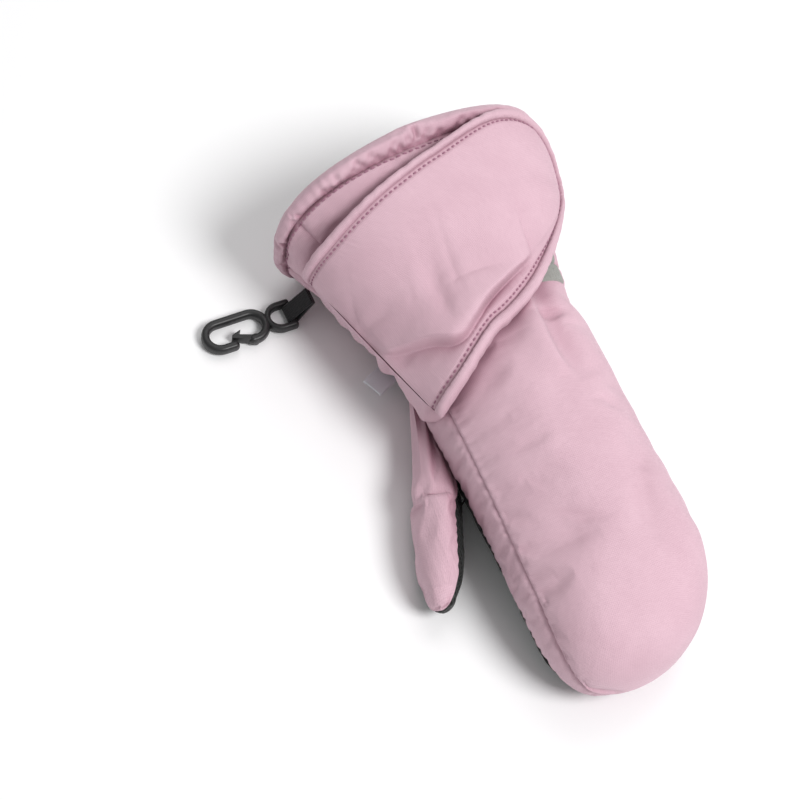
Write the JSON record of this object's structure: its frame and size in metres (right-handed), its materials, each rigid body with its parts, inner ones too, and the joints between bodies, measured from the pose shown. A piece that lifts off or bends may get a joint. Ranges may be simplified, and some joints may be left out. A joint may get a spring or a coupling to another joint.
{
  "type": "ski mitten",
  "caption": "Padded ski mitten with flared cuff, wrist flap on a hook-and-loop fastener, grip palm, fleece lining and a storage clip on the cuff's side seam.",
  "frame": {"origin": "centre of the mitten's whole footprint on the ground, palm down", "axes": "+Y out through the cuff mouth, away from the finger end; -X is the thumb side; +Z rises out of the back of the hand"},
  "size_m": [0.149, 0.2266, 0.0789],
  "materials": {
    "shell_canvas": "matt woven nylon, soft pink",
    "grip_fabric": "embossed coated grip fabric, near black, slight sheen",
    "elastic_band": "woven elastic",
    "wadding": "loose polyester fill",
    "membrane_film": "thin waterproof film",
    "fleece_lining": "brushed fleece",
    "loop_tape": "loop pile tape",
    "hook_tape": "hook tape",
    "label_tape": "smooth woven label, bare",
    "webbing": "narrow black webbing",
    "clip_plastic": "satin moulded black"
  },
  "bodies": {
    "mitten": {"back_panel": "shell_canvas", "finger_gusset": "shell_canvas", "palm_panel": "grip_fabric", "thumb_back": "shell_canvas", "thumb_palm": "grip_fabric", "cuff_back_panel": "shell_canvas", "cuff_palm_panel": "shell_canvas", "cuff_hem": "shell_canvas", "wrist_elastic": "elastic_band", "hand_insulation": "wadding", "thumb_insulation": "wadding", "cuff_insulation": "wadding", "hand_membrane": "membrane_film", "thumb_membrane": "membrane_film", "hand_lining": "fleece_lining", "thumb_lining": "fleece_lining", "loop_patch": "loop_tape", "care_label": "label_tape", "flap_seam": "shell_canvas", "clip_loop": "webbing"},
    "flap": {"flap_outer": "shell_canvas", "flap_padding": "wadding", "flap_lining": "shell_canvas", "flap_binding": "shell_canvas", "hook_patch": "hook_tape"},
    "clip": {"clip_hook": "clip_plastic"},
    "gate": {"clip_gate": "clip_plastic"}
  },
  "joints": [
    {"name": "flap_open", "type": "hinge", "parent": "mitten", "child": "flap", "pos_m": [-0.01365, 0.00168, 0.042], "axis": [0.2317, -0.9623, 0.1426], "range_deg": [0, 115]},
    {"name": "clip_swing", "type": "hinge", "parent": "mitten", "child": "clip", "pos_m": [-0.03665, 0.08368, 0.0026], "axis": [0, 1, 0], "range_deg": [0, 60]},
    {"name": "gate_flex", "type": "hinge", "parent": "clip", "child": "gate", "pos_m": [-0.05415, 0.07783, 0.0026], "axis": [0, 0, -1], "range_deg": [0, 20], "stiffness_Nm_per_rad": 0.01}
  ]
}
